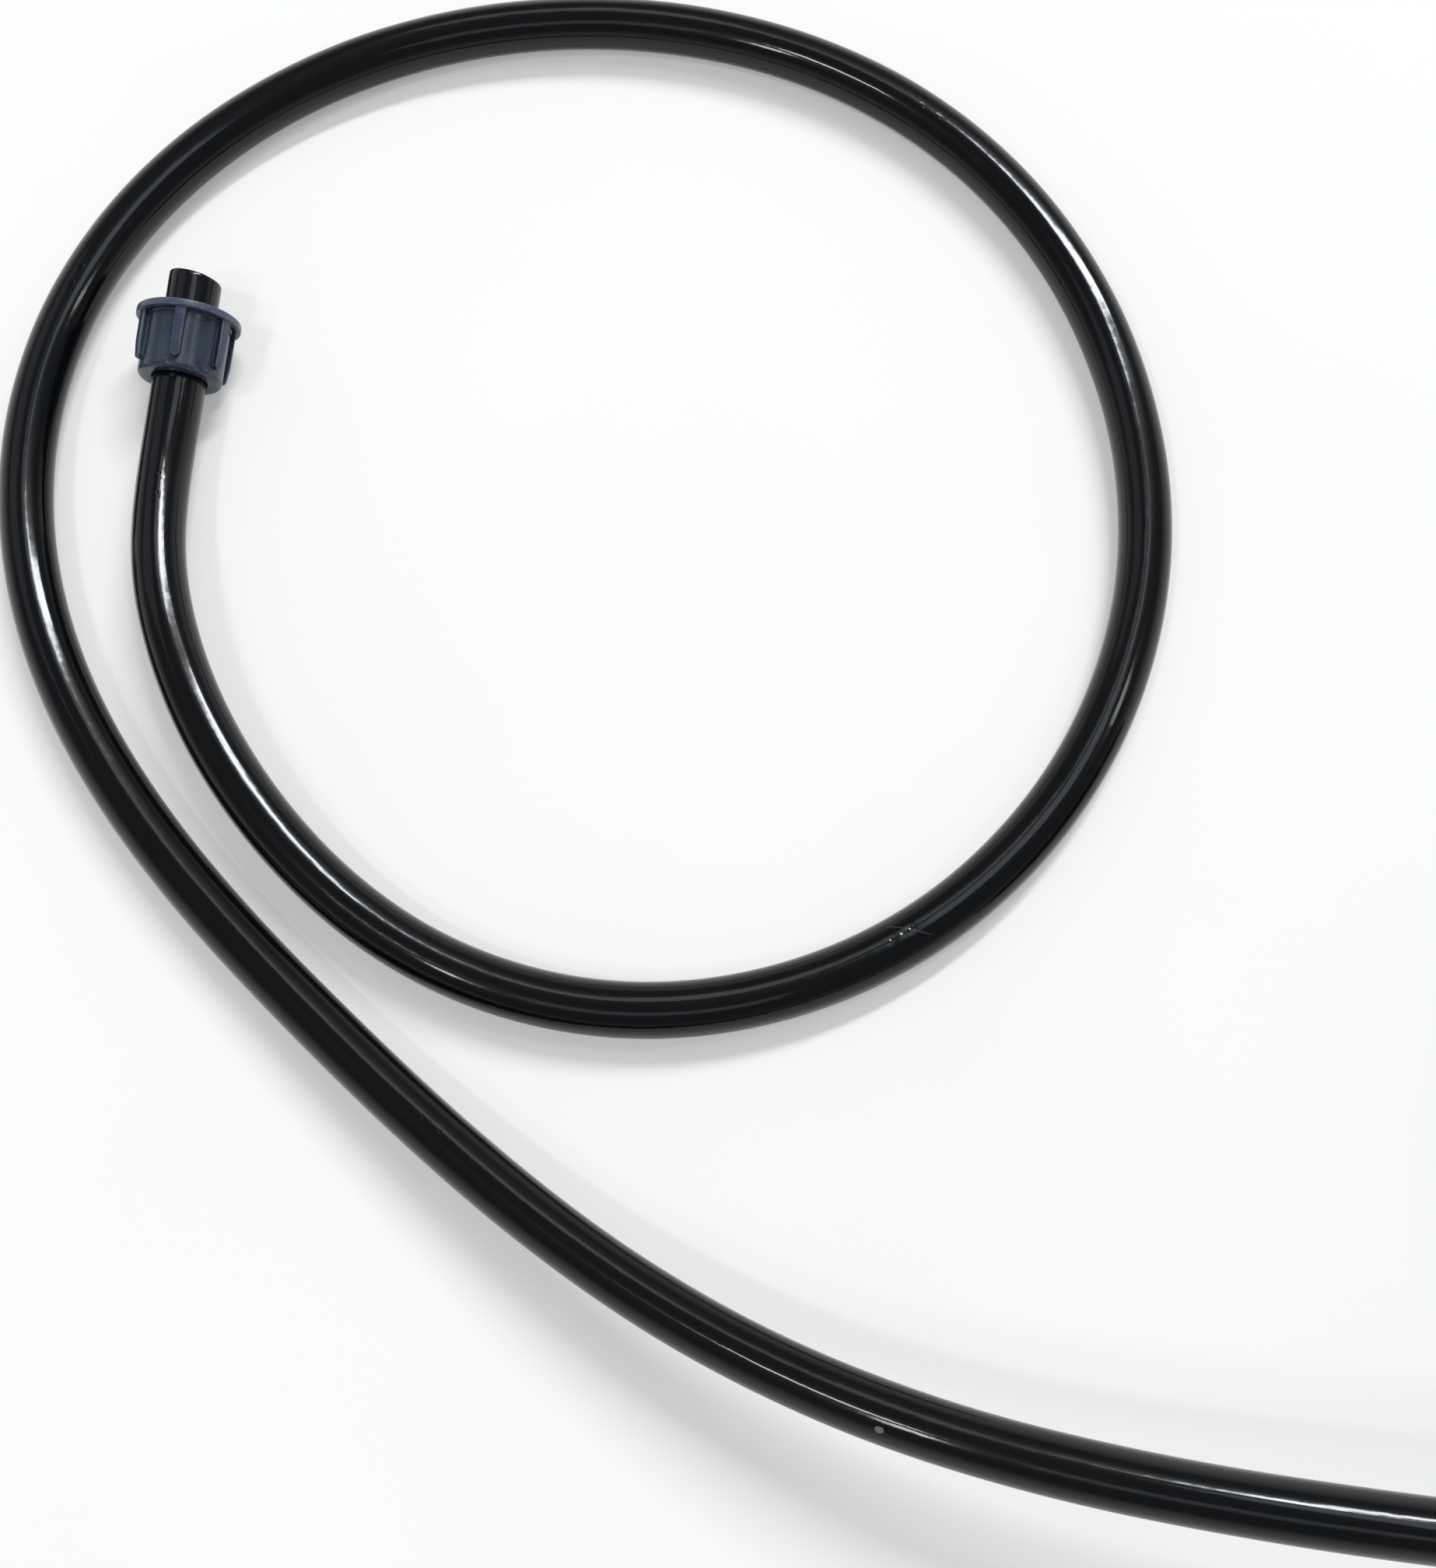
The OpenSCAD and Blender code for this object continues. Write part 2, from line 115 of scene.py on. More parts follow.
# How far apart the points of each stretch lie, how many are first drawn between
# two of the route's points, in a turn of the coil and in the tail, and how often
# the small corners are softened.
STRAIGHT_STEP = 1.5
RUN_STEP = 2
COIL_STEP = 4.5
TAIL_STEP = 4
SPAN_POINTS = 60
TURN_POINTS = 144
TAIL_POINTS = 25
SOFTENING = 12
# A wound pipe is never quite round. It stays a little oval, by amounts and in
# directions that change in slow waves along it. Each wave ends with its length
# over two pi and its start.
OVAL = 0.06
OVAL_SWING = 0.05
OVAL_WAVES = ((23.0, 1.1), (9.1, 4.0), (51.0, 2.2))
LEAN_WAVES = ((0.4, 37.0, 0), (0.3, 13.3, 2))
# The cut end, from its inner edge over the sawn face to its outer edge: radius,
# how far back, and whether the saw's marks show there. The bore's own edge lies
# a little further back.
CUT_FACE = [(6.95, 0.0, 0), (7.3, 0.03, 1), (7.7, 0.02, 1), (7.88, 0.1, 0), (7.98, 0.3, 0)]
SAW_WAVES = ((0.05, 5, 1), (0.04, 11, 0))
MOUTH_EDGE = 0.1
# Weep holes are pricked in pairs along the top of the hose, each in a dent.
WEEP_ANGLE = 97.0
FIRST_WEEP = 67.0
WEEP_STEP = 312.9
WEEP_PAIR = 6.5
WEEP_R = 0.55
WEEP_DENT_R = 2.2
# A scuff on the climb to the coil, a scratch across the loop's front, and lime
# in one hole there.
NICK_AT, NICK_ANGLE = 1465.3, 56.1
NICK_HALF_WIDTH, NICK_HALF_LENGTH = 1.0, 1.3
SCRATCH_AT, SCRATCH_ANGLE = 386.0, 97.0
SCRATCH_SLANT, SCRATCH_BOW = 1.06, 0.03
LIME_AT, LIME_ANGLE = 383.15, 97.0
LIME_R = 0.4
COLD_BLACK = (0.0018, 0.0026, 0.0034, 1)
WARM_BLACK = (0.0036, 0.0032, 0.0042, 1)
# A painted shade's colour, for inside the weep holes.
HOLE_SHADE_BLACK = (0.0012, 0.0012, 0.0015, 1)
DUST_GREY = (0.09, 0.088, 0.082, 1)
SCRATCH_GREY = (0.10, 0.10, 0.11, 1)
LIME_WHITE = (0.62, 0.60, 0.56, 1)
NICK_BROWN = (0.19, 0.165, 0.145, 1)


def eased(x):
    """From 0 to 1 in a smooth S, and level outside."""
    x = np.clip(x, 0, 1)
    return x * x * (3 - 2 * x)


def lengths(line):
    """How far along a line each of its points is."""
    return np.concatenate([[0], np.cumsum(np.linalg.norm(np.diff(line, axis=0), axis=1))])


def evenly(line, step):
    """The same line, with its points about one step apart."""
    far = lengths(line)
    at = np.linspace(0, far[-1], max(2, int(round(far[-1] / step)) + 1))
    return np.stack([np.interp(at, far, line[:, k]) for k in range(3)], 1)


def along_points(points, step):
    """Even places along the smooth curve that a list of points steers."""
    p = np.array(points, float)
    t = np.linspace(0, len(p) - 3, SPAN_POINTS * (len(p) - 3) + 1)
    i = np.minimum(t.astype(int), len(p) - 4)
    u = (t - i)[:, None]
    fine = (p[i] * (1 - u) ** 3 + p[i + 1] * (3 * u ** 3 - 6 * u * u + 4)
            + p[i + 2] * (1 + 3 * u + 3 * u * u - 3 * u ** 3) + p[i + 3] * u ** 3) / 6
    return evenly(fine, step)


def wound(u):
    """Place in the coil, u turns from where the hose joins its top layer."""
    layer = np.minimum((u / LAYER_TURNS).astype(int), LAYERS - 1)
    w = u - layer * LAYER_TURNS
    r = COIL_RADIUS - TURN_PITCH * np.where(layer % 2 == 0, w, LAYER_TURNS - w)
    drop = sum(eased((u - k * LAYER_TURNS) / STEP_TURNS + 0.5) for k in range(1, LAYERS))
    a = 2 * math.pi * u
    return np.stack([COIL_CENTRE[0] + r * np.sin(a), COIL_CENTRE[1] - r * np.cos(a),
                     COIL_TOP - TURN_PITCH * drop], 1)


def softened(line, passes):
    """Rounds the small corners of a line without moving its ends."""
    out = line.copy()
    for _ in range(passes):
        out[1:-1] = (out[:-2] + 2 * out[1:-1] + out[2:]) / 4
    return out


run_start = NEAR_FACE - NEAR_DIR * STRAIGHT_BACK
run_points = ([run_start + NEAR_DIR * RUN_LEAD * k for k in (1, 0, -1)]
              + [(x, y, HOSE_R + rise * (COIL_TOP - HOSE_R)) for x, y, rise in ROUTE]
              + [COIL_START + np.array([COIL_LEAD * k, 0, 0]) for k in (-1, 0, 1)])
near_tip = NEAR_FACE + NEAR_DIR * STUB_OUT
tail_end = FAR_FACE - np.array([FAR_STRAIGHT, 0, 0])
far_tip = FAR_FACE + np.array([PLUG_DEPTH, 0, 0])
turns = LAYERS * LAYER_TURNS
coil_turns = wound(np.linspace(0, turns, int(turns * TURN_POINTS) + 1))
coil_line = evenly(np.concatenate([[COIL_START], coil_turns, [COIL_FINISH]]), COIL_STEP)
tail = np.linspace(COIL_FINISH, tail_end, TAIL_POINTS)
climb = eased(np.linspace(0, 1, TAIL_POINTS))
tail[:, 2] = COIL_FINISH[2] + climb * (tail_end[2] - COIL_FINISH[2])
hose_line = np.concatenate([
    evenly(np.array([near_tip, run_start]), STRAIGHT_STEP)[:-1],
    along_points(run_points, RUN_STEP)[:-1],
    softened(coil_line, SOFTENING)[:-1],
    evenly(tail, TAIL_STEP)[:-1],
    evenly(np.array([tail_end, far_tip]), TAIL_STEP),
])
behind_nut = lengths(hose_line) - STUB_OUT - STRAIGHT_BACK
arch = softened(np.interp(behind_nut, *zip(*ARCH)), SOFTENING)
hose_line += arch[:, None] * ARCH_WAY


def new_piece(name, verts, faces, material, smooth_below):
    """A mesh piece from points in millimetres, smooth where it turns less than that angle."""
    mesh = bpy.data.meshes.new(name)
    mesh.from_pydata((np.asarray(verts) * MM).tolist(), [], faces)
    mesh.update()
    mesh.shade_smooth()
    mesh.set_sharp_from_angle(angle=math.radians(smooth_below))
    mesh.materials.append(material)
    piece = bpy.data.objects.new(name, mesh)
    bpy.context.scene.collection.objects.link(piece)
    return piece


def between_rings(rings, around, first=0, closed=False, outward=True):
    """Faces between rings of points that follow each other in a list."""
    faces = []
    for i in range(rings if closed else rings - 1):
        a, b = first + i * around, first + ((i + 1) % rings) * around
        for j in range(around):
            k = (j + 1) % around
            faces.append((a + j, a + k, b + k, b + j) if outward else (a + k, a + j, b + j, b + k))
    return faces


def corners(mesh):
    """Which point is at each corner of a mesh's faces."""
    corner = np.zeros(len(mesh.loops), np.int32)
    mesh.loops.foreach_get("vertex_index", corner)
    return corner


def lay_map(mesh, name, uv):
    """Lays a map of two values for each corner on a mesh."""
    mesh.uv_layers.new(name=name).data.foreach_set("uv", uv.astype(np.float32).ravel())


class Finish:
    """A material and short ways to lay out its nodes."""

    def __init__(self, name):
        self.material = bpy.data.materials.new(name)
        self.material.use_nodes = True
        self.tree = self.material.node_tree
        self.skin = self.tree.nodes["Principled BSDF"].inputs

    def feed(self, socket, value):
        """Gives an input a value, or joins another node's output to it."""
        if isinstance(value, bpy.types.NodeSocket):
            self.tree.links.new(value, socket)
        else:
            socket.default_value = value

    def add(self, kind, ins, **settings):
        """A new node, with what goes into it and how it is set."""
        node = self.tree.nodes.new(kind)
        for key, value in settings.items():
            setattr(node, key, value)
        for key, value in ins.items():
            self.feed(node.inputs[key], value)
        return node

    def body(self):
        """Place on the piece, in millimetres."""
        where = self.add("ShaderNodeTexCoord", {}).outputs["Object"]
        return self.stretched(where, (1 / MM, 1 / MM, 1 / MM))

    def stretched(self, where, by):
        return self.add("ShaderNodeVectorMath", {0: where, 1: by}, operation="MULTIPLY").outputs[0]

    def noise(self, where, scale, detail=3, rough=0.5):
        ins = {"Vector": where, "Scale": scale, "Detail": detail, "Roughness": rough}
        return self.add("ShaderNodeTexNoise", ins).outputs["Fac"]

    def ranged(self, value, low, high, to_low=0.0, to_high=1.0):
        """A value carried over from one range to another, and held at its ends."""
        ins = {"Value": value, "From Min": low, "From Max": high,
               "To Min": to_low, "To Max": to_high}
        return self.add("ShaderNodeMapRange", ins).outputs["Result"]

    def mixed(self, amount, a, b):
        """A colour between two, where 1 is all of the second."""
        node = self.add("ShaderNodeMix", {0: amount, 6: a, 7: b}, data_type="RGBA")
        return node.outputs[2]

    def maths(self, how, a, b=0.0):
        return self.add("ShaderNodeMath", {0: a, 1: b}, operation=how).outputs[0]

    def squared(self, a):
        return self.maths("MULTIPLY", a, a)

    def apart(self, a, b):
        """How far apart two values are."""
        return self.maths("ABSOLUTE", self.maths("SUBTRACT", a, b))

    def bumped(self, height, distance_mm, under=None):
        """A relief of that depth, on top of the one under it."""
        ins = {"Height": height, "Distance": distance_mm * MM}
        if under is not None:
            ins["Normal"] = under
        return self.add("ShaderNodeBump", ins).outputs["Normal"]


def hose_finish():
    """Glossy black, with fine lines along it from the die, pricked holes darkened with painted
    shade, and handling marks.
    """
    m = Finish("hose black")
    skin = m.add("ShaderNodeUVMap", {}, uv_map="skin").outputs["UV"]
    split = m.add("ShaderNodeSeparateXYZ", {0: skin})
    turn_mm, along_mm = split.outputs[0], split.outputs[1]

    def spot(angle, at, wide, long):
        """1 in the middle of an oval mark on the skin, 0 at its edge and less outside."""
        x = m.maths("DIVIDE", m.maths("SUBTRACT", turn_mm, math.radians(angle) * HOSE_R), wide)
        y = m.maths("DIVIDE", m.maths("SUBTRACT", along_mm, at), long)
        return m.maths("SUBTRACT", 1.0, m.maths("ADD", m.squared(x), m.squared(y)))

    def weep(which, size):
        """The same for one hole of every pair."""
        at = m.maths("ADD", along_mm, 0.5 * WEEP_STEP - FIRST_WEEP - which * WEEP_PAIR)
        y = m.maths("SUBTRACT", m.maths("MODULO", at, WEEP_STEP), 0.5 * WEEP_STEP)
        x = m.maths("SUBTRACT", turn_mm, math.radians(WEEP_ANGLE) * HOSE_R)
        far = m.maths("ADD", m.squared(x), m.squared(y))
        return m.maths("SUBTRACT", 1.0, m.maths("DIVIDE", far, size * size))

    die_lines = m.noise(m.stretched(skin, (1.5, 0.004, 1)), 1, 2, 0.6)
    ridges = m.noise(m.stretched(skin, (0.55, 0.0008, 1)), 1, 0)
    ridge = m.ranged(m.apart(ridges, 0.56), 0.0, 0.05, 1, 0)
    ripple = m.noise(m.stretched(skin, (0.16, 0.1, 1)), 1, 2, 0.5)
    grain = m.noise(m.stretched(skin, (1.1, 0.8, 1)), 1, 3, 0.6)
    cloud = m.noise(m.body(), 0.03, 3, 0.6)
    haze = m.noise(m.stretched(skin, (0.35, 0.03, 1)), 1, 3, 0.6)
    dust = m.noise(m.body(), 1.3, 2, 0.7)
    holes = m.maths("MAXIMUM", weep(0, WEEP_R), weep(1, WEEP_R))
    dents = m.maths("MAXIMUM", weep(0, WEEP_DENT_R), weep(1, WEEP_DENT_R))
    lime = spot(LIME_ANGLE, LIME_AT, LIME_R, LIME_R)
    nick = spot(NICK_ANGLE, NICK_AT, NICK_HALF_WIDTH, NICK_HALF_LENGTH)

    # The scratch runs slantwise over the hose and bows a little.
    x = m.maths("SUBTRACT", turn_mm, math.radians(SCRATCH_ANGLE) * HOSE_R)
    bow = m.maths("MULTIPLY", m.squared(x), SCRATCH_BOW)
    bow = m.maths("ADD", bow, m.maths("MULTIPLY", x, SCRATCH_SLANT))
    off = m.maths("ADD", m.maths("SUBTRACT", along_mm, SCRATCH_AT), bow)
    line = m.ranged(m.maths("ABSOLUTE", off), 0.05, 0.3, 1, 0)
    ends = m.ranged(m.maths("ABSOLUTE", x), 3.4, 5.4, 1, 0)
    scratch = m.maths("MULTIPLY", line, ends)

    black = m.mixed(m.ranged(cloud, 0.35, 0.65), COLD_BLACK, WARM_BLACK)
    black = m.mixed(m.ranged(dust, 0.74, 0.82, 0, 0.3), black, DUST_GREY)
    black = m.mixed(m.ranged(scratch, 0, 1, 0, 0.55), black, SCRATCH_GREY)
    # Painted shade: each weep hole is a darker dot for the shade inside it.
    black = m.mixed(m.ranged(holes, 0, 0.3), black, HOLE_SHADE_BLACK)
    black = m.mixed(m.ranged(lime, 0, 0.4), black, LIME_WHITE)
    black = m.mixed(m.ranged(nick, 0, 0.3), black, NICK_BROWN)
    m.feed(m.skin["Base Color"], black)

    # A dim hazy shine under a clearer skin, both duller by the nut and on marks.
    gloss = m.ranged(haze, 0.35, 0.7, 0.24, 0.32)
    gloss = m.maths("ADD", gloss, m.ranged(along_mm, 40, 62, 0.14, 0))
    gloss = m.maths("ADD", gloss, m.ranged(dust, 0.7, 0.82, 0, 0.3))
    gloss = m.maths("ADD", gloss, m.ranged(nick, 0, 0.3, 0, 0.5))
    gloss = m.maths("ADD", gloss, m.ranged(scratch, 0, 1, 0, 0.2))
    m.feed(m.skin["Roughness"], gloss)
    m.skin["IOR"].default_value = 1.14
    m.skin["Coat Weight"].default_value = 0.75
    m.skin["Coat Roughness"].default_value = 0.09
    m.skin["Coat IOR"].default_value = 1.42

    level = m.bumped(ripple, 0.06)
    level = m.bumped(grain, 0.004, level)
    level = m.bumped(die_lines, 0.004, level)
    level = m.bumped(ridge, 0.006, level)
    level = m.bumped(m.ranged(dents, 0, 1, 0, -1), 0.02, level)
    level = m.bumped(m.ranged(holes, 0, 1, 0, -1), 0.04, level)
    level = m.bumped(m.ranged(nick, 0, 0.5, 0, -1), 0.15, level)
    m.feed(m.skin["Normal"], level)
    m.feed(m.skin["Coat Normal"], level)
    return m.material


def make_hose():
    around, inner_around = 48, 24
    way = np.gradient(hose_line, axis=0)
    way /= np.linalg.norm(way, axis=1)[:, None]
    side = np.cross(way, [0, 0, 1])
    side /= np.linalg.norm(side, axis=1)[:, None]
    top = np.cross(side, way)
    far = lengths(hose_line)
    count = len(hose_line)
    slow = sum(np.sin(far / long + start) for long, start in OVAL_WAVES) / len(OVAL_WAVES)
    oval = OVAL + OVAL_SWING * slow
    lean = sum(most * np.sin(far / long + start) for most, long, start in LEAN_WAVES)

    def ring(i, r, points=around):
        a = 2 * math.pi * np.arange(points) / points
        slant = max(0.0, 1 - far[i] / CUT_FADE) * math.tan(CUT_SLOPE)
        rr = r + oval[i] * np.cos(2 * (a + lean[i]))
        p = hose_line[i] + side[i] * (rr * np.cos(a))[:, None] + top[i] * (rr * np.sin(a))[:, None]
        return p - NEAR_DIR * (p[:, 0] * slant)[:, None]

    angle = 2 * math.pi * np.arange(around) / around
    saw_marks = sum(most * np.sin(n * angle + start) for most, n, start in SAW_WAVES)
    outside = [ring(0, r) - NEAR_DIR * (back + sawn * saw_marks[:, None])
               for r, back, sawn in CUT_FACE]
    outside += [ring(i, HOSE_R) for i in range(1, count)]
    mouth = ring(0, BORE_R) - NEAR_DIR * MOUTH_EDGE
    inside = [ring(i, BORE_R, inner_around) for i in range(1, count)]
    first_mouth = len(outside) * around
    first_in = first_mouth + around
    last_out = first_mouth - around
    last_in = first_in + (count - 2) * inner_around
    faces = between_rings(len(outside), around, outward=False)
    faces += between_rings(len(inside), inner_around, first_in)
    for j in range(around):
        k = (j + 1) % around
        faces.append((j, k, first_mouth + k, first_mouth + j))
    # The bore has half as many points round it as the skin, so each face between
    # them has two points on one side and three on the other.
    for j in range(inner_around):
        k, a, b, c = (j + 1) % inner_around, 2 * j, 2 * j + 1, (2 * j + 2) % around
        faces.append((first_mouth + a, first_mouth + b, first_mouth + c,
                      first_in + k, first_in + j))
        faces.append((last_out + c, last_out + b, last_out + a, last_in + j, last_in + k))
    verts = np.concatenate(outside + [mouth] + inside)
    piece = new_piece("hose", verts, faces, hose_finish(), smooth_below=50)

    # The skin's own map: millimetres round it and millimetres along it.
    along_skin = np.concatenate([np.zeros(len(CUT_FACE)), far[1:]])
    along = np.concatenate([np.repeat(along_skin, around), np.zeros(around),
                            np.repeat(far[1:], inner_around)])
    share = np.arange(around) / around
    turn = np.concatenate([np.tile(share, len(outside) + 1), np.tile(share[::2], count - 1)])
    corner = corners(piece.data)
    owner = np.repeat(np.arange(len(faces)), [len(f) for f in faces])
    widest = np.zeros(len(faces))
    np.maximum.at(widest, owner, turn[corner])
    wraps = (widest[owner] > 0.9) & (turn[corner] < 0.1)
    round_mm = (turn[corner] + wraps) * 2 * math.pi * HOSE_R
    lay_map(piece.data, "skin", np.stack([round_mm, along[corner]], 1))
    return piece


hose = make_hose()
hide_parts("hose_end", "hose_run", "hose_coil", "hose_tail", "hose_far_end")
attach(hose, "hose")

# ---------------------------------------------------------------------------
# The compression nut: moulded in slate blue polypropylene, with six grip ribs
# and a thread inside its flanged end. It hangs loose on the hose's near end,
# where it turns and slides off.
# ---------------------------------------------------------------------------

NUT_LEN = 20.5
NUT_R = 12.8
NUT_DRAFT = 0.12
NUT_TURN = math.radians(7)
FLANGE_R = 15.8
FLANGE_T = 2.2
FLANGE_FILLET = 0.45
RIM_ROUND = 0.5
EDGE_ROUND = 1.3
HOLE_R = 8.4
END_FLAT_R = 10.2
END_WALL = 2.2
# The grip ribs are wider at the flange, and slope down towards their tips.
RIB_COUNT = 6
RIB_TOP = 14.85
RIB_TAPER = 5.2
RIB_TAPER_SLOPE = 0.105
RIB_TIP_HALF = 1.3
RIB_ROOT_HALF = 1.6
RIB_EDGE = 0.42
RIB_REACH = 16.2
RIB_FILLET = 0.3
# The foot of a thread's ridge, from its middle, and the width of its flank are
# shares of half the pitch.
THREAD_R = 11.7
THREAD_H = 0.55
THREAD_PITCH = 2.5
THREAD_DEPTH = 9.0
THREAD_LEAD = 0.6
THREAD_FOOT = 0.65
THREAD_FLANK = 0.45
THREAD_FADE_IN = 1.2
THREAD_FADE_OUT = 1.0
THREAD_STEP = 0.2
CONE_WIDE_R = 11.3
CONE_SLOPE = math.tan(math.radians(10))
CONE_TOP = -9.6
# The height at which the nut is scuffed least.
LEAST_WORN = -10.5
DARK_BLUE = (0.013, 0.019, 0.037, 1)
SLATE_BLUE = (0.028, 0.040, 0.072, 1)
GREEN_BLUE = (0.026, 0.052, 0.068, 1)
FLOW_BLUE = (0.052, 0.060, 0.115, 1)
# A painted shade's colour, for the flanks and fillets of the ribs.
FLANK_SHADE = (0.010, 0.011, 0.018, 1)
RUBBED_BLUE = (0.064, 0.075, 0.125, 1)
# A painted highlight's colour, for the rib edges and the flange rim.
EDGE_HIGHLIGHT_BLUE = (0.180, 0.200, 0.290, 1)
WORN_GREY = (0.15, 0.17, 0.215, 1)
# A fitting's own axes at each end of the hose. The third points out of its
# open face.
NEAR_AXES = np.array([[1, 0, 0], [0, math.sin(END_TILT), -math.cos(END_TILT)], NEAR_DIR])
FAR_AXES = np.array([[0, 0, -1], [0, 1, 0], [1, 0, 0]])

# Columns of points round a fitting, closest together on the flanks of each rib.
# The angles are from the middle of a rib, in radians.
RIB_COLUMNS = 54
FLANK_ANGLE = 0.118
FLANK_SPREAD = 0.028
CREST_SPREAD = 0.1
half_sector = np.radians(180 / RIB_COUNT)
fine_angles = np.linspace(-half_sector, half_sector, 3001)
on_flank = np.exp(-((np.abs(fine_angles) - FLANK_ANGLE) / FLANK_SPREAD) ** 2)
on_crest = np.exp(-(fine_angles / CREST_SPREAD) ** 2)
crowding = 0.012 + on_flank / 4 + on_crest / 12
crowded = np.concatenate([[0], np.cumsum(crowding[1:] + crowding[:-1])])
one_rib = np.interp(np.arange(RIB_COLUMNS) / RIB_COLUMNS, crowded / crowded[-1], fine_angles)
from_rib = np.tile(one_rib, RIB_COUNT)
columns = from_rib + np.repeat(2 * math.pi * np.arange(RIB_COUNT) / RIB_COUNT, len(one_rib))


def ribbed(body_r, tip, root, z):
    """Radius in each column, at height z, of a round body whose ribs run from tip to root."""
    # Each column is searched from inside the body to past the ribs' tops, and
    # its outermost place inside the solid is the surface.
    reach = np.linspace(body_r - 0.6, RIB_TOP + 0.5, 90)
    share = (z - tip) / (root - tip)
    half = RIB_TIP_HALF + (RIB_ROOT_HALF - RIB_TIP_HALF) * min(max(share, 0), 1)
    past_tip = min(share, 0) * (root - tip)
    tapered = max(0, RIB_TAPER - RIB_TIP_HALF - share * abs(root - tip))
    top = RIB_TOP - RIB_TAPER_SLOPE * tapered
    across = np.sqrt(np.outer(np.sin(from_rib), reach) ** 2 + past_tip ** 2) - half + RIB_EDGE
    out = np.outer(np.cos(from_rib), reach) - top + RIB_EDGE
    rounded = np.hypot(np.maximum(across, 0), np.maximum(out, 0))
    rib = rounded + np.minimum(np.maximum(across, out), 0) - RIB_EDGE
    body = reach[None, :] - body_r
    near = np.maximum(RIB_FILLET - np.abs(rib - body), 0)
    solid = np.minimum(rib, body) - near ** 2 / RIB_FILLET / 4
    row = np.arange(len(from_rib))
    last = len(reach) - 1 - np.argmax((solid < 0)[:, ::-1], axis=1)
    a, b = solid[row, last], solid[row, last + 1]
    return reach[last] + (reach[1] - reach[0]) * a / (a - b)


def arc(r, z, radius, start, end, steps):
    """Rounded corner of a profile, about a middle, from one angle to another in degrees."""
    return [(r + radius * math.cos(math.radians(a)), z + radius * math.sin(math.radians(a)))
            for a in np.linspace(start, end, steps)]


def fillet(body_r, tip, root, z, up):
    """Rings from a ribbed side out onto a flange at height z; up is 1 if the flange is above."""
    foot = ribbed(body_r, tip, root, z - up * FLANGE_FILLET)
    size = np.minimum(FLANGE_FILLET, (FLANGE_R - RIM_ROUND - foot) * 0.8)
    rings = [(foot + size * (1 - math.cos(a)), z - up * size * (1 - math.sin(a)))
             for a in np.radians([0, 25, 50, 72, 90])]
    edge = rings[-1][0]
    rings += [(edge + (FLANGE_R - RIM_ROUND - edge) * share, z) for share in (0.4, 0.8)]
    return rings


def thread(root_r, height, z_from, z_to, shift, inward):
    """Rings down a thread that fades in and out at its ends."""
    rings = []
    for z in np.linspace(z_from, z_to, int(abs(z_to - z_from) / THREAD_STEP) + 1):
        turn = (z / THREAD_PITCH + columns / (2 * math.pi) + shift) % 1
        crest = eased((THREAD_FOOT - np.abs(2 * turn - 1)) / THREAD_FLANK)
        fade = eased(abs(z - z_from) / THREAD_FADE_IN) * eased(abs(z - z_to) / THREAD_FADE_OUT)
        rings.append((root_r + (-1 if inward else 1) * height * crest * fade, z))
    return rings


def turned_piece(name, rings, first_rib, face, axes, closed, material):
    """A turned or ribbed piece on a fitting's axes, mapped by its radius and height.

    A closed one comes back to its first ring. Any other ends in two flat faces.
    """
    a = columns + first_rib
    section = np.concatenate([np.stack([r + 0 * a, z + 0 * a], 1) for r, z in rings])
    radius, height = section.T
    round_it = np.tile(a, len(rings))
    points = np.stack([radius * np.cos(round_it), radius * np.sin(round_it), height], 1)
    faces = between_rings(len(rings), len(a), closed=closed)
    if not closed:
        last = (len(rings) - 1) * len(a)
        faces += [tuple(range(len(a)))[::-1], tuple(range(last, last + len(a)))]
    piece = new_piece(name, face + points @ axes, faces, material, smooth_below=35)
    lay_map(piece.data, "section", section[corners(piece.data)])
    return piece


def nut_rings():
    """The nut's section, from the hole in its small end over its outside and back inside."""
    low = -NUT_LEN
    small_r = NUT_R - NUT_DRAFT

    def side(z):
        body_r = small_r + NUT_DRAFT * (z - low) / NUT_LEN
        return (ribbed(body_r, -RIB_REACH, -FLANGE_T / 2, z), z)

    # Round the hole's edge, over the small end and up the side, with the rings
    # close together where the ribs' tips round over.
    rings = [(HOLE_R, low + 0.3), (HOLE_R + 0.1, low + 0.1), (HOLE_R + 0.3, low), (END_FLAT_R, low)]
    rings += arc(small_r - EDGE_ROUND, low + EDGE_ROUND, EDGE_ROUND, -90, 0, 8)
    rings += [side(z) for z in np.arange(low + 1.6, -13.8, 0.24)]
    rings += [side(z) for z in np.linspace(-13.2, -FLANGE_T - 0.8, 8)]
    rings += fillet(NUT_R, -RIB_REACH, -FLANGE_T / 2, -FLANGE_T, 1)
    # Round the flange, over the open face and down the thread.
    rim = FLANGE_R - RIM_ROUND
    rings += arc(rim, RIM_ROUND - FLANGE_T, RIM_ROUND, -90, 0, 5)
    rings += arc(rim, -RIM_ROUND, RIM_ROUND, 0, 90, 5)
    rings += [(14.0, 0), (THREAD_R + THREAD_LEAD + 0.1, 0), (THREAD_R + THREAD_LEAD, -0.08)]
    rings += thread(THREAD_R, THREAD_H, -THREAD_LEAD, -THREAD_DEPTH + 0.1, shift=0, inward=True)
    rings += [(THREAD_R - 0.1, -THREAD_DEPTH), (CONE_WIDE_R, -THREAD_DEPTH - 0.05)]
    # Down the cone that closes the grip ring, and back to the hole.
    cone_end = low + END_WALL
    rings += [(CONE_WIDE_R + CONE_SLOPE * (z + THREAD_DEPTH), z)
              for z in np.linspace(CONE_TOP, cone_end + 0.2, 5)]
    rings += [(9.4, cone_end), (HOLE_R + 0.2, cone_end), (HOLE_R, cone_end - 0.2)]
    return rings


